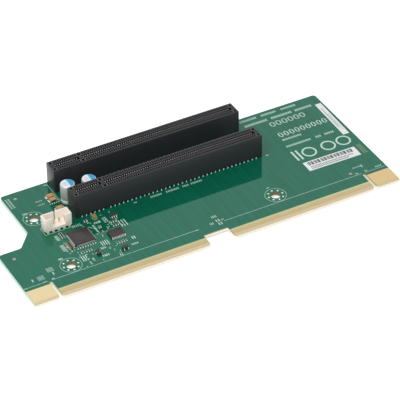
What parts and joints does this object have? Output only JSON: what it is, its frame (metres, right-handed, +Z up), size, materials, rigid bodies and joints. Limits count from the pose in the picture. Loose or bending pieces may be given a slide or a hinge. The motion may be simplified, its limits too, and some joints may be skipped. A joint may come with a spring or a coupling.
{
  "type": "pcie riser card",
  "caption": "Riser card with a notched gold card edge, power tabs and long black card sockets side by side on a green circuit board.",
  "frame": {"origin": "centre of the card's outline in plan, at the tips of the socket pegs that the card rests on", "axes": "+X along the card edge, +Y from the gold card edge to the rear edge, +Z up out of the board's component side"},
  "size_m": [0.1712, 0.0712, 0.0138],
  "materials": {
    "board": "gloss",
    "gold": "satin",
    "socket_plastic": "satin",
    "can": "satin",
    "seal": "matt",
    "tinned": "satin",
    "header_plastic": "satin",
    "chip_plastic": "matt",
    "ceramic": "matt",
    "chip_black": "satin",
    "label": "matt"
  },
  "bodies": {
    "root": {"circuit_board": "board", "edge_fingers_top_left": "gold", "edge_fingers_top_right": "gold", "edge_fingers_bottom_left": "gold", "edge_fingers_bottom_right": "gold", "power_pad_top_left": "gold", "power_pad_top_right": "gold", "power_pad_bottom_left": "gold", "power_pad_bottom_right": "gold", "front_socket_housing": "socket_plastic", "rear_socket_housing": "socket_plastic", "front_socket_contacts_near": "gold", "front_socket_contacts_far": "gold", "rear_socket_contacts_near": "gold", "rear_socket_contacts_far": "gold", "left_capacitor_can": "can", "right_capacitor_can": "can", "left_capacitor_seal": "seal", "right_capacitor_seal": "seal", "left_capacitor_leads": "tinned", "right_capacitor_leads": "tinned", "header_housing": "header_plastic", "header_pins": "tinned", "controller_chip": "chip_plastic", "driver_chip": "chip_plastic", "driver_leads": "tinned", "regulator_chip": "chip_plastic", "regulator_leads": "tinned", "transistor_chip": "chip_plastic", "transistor_leads": "tinned", "diode_chip": "chip_plastic", "diode_leads": "tinned", "ceramic_capacitors": "ceramic", "chip_resistors": "chip_black", "filter_capacitors": "ceramic", "small_capacitors": "ceramic", "bulk_capacitor": "ceramic", "barcode_label": "label", "strip_label": "label"}
  },
  "joints": []
}
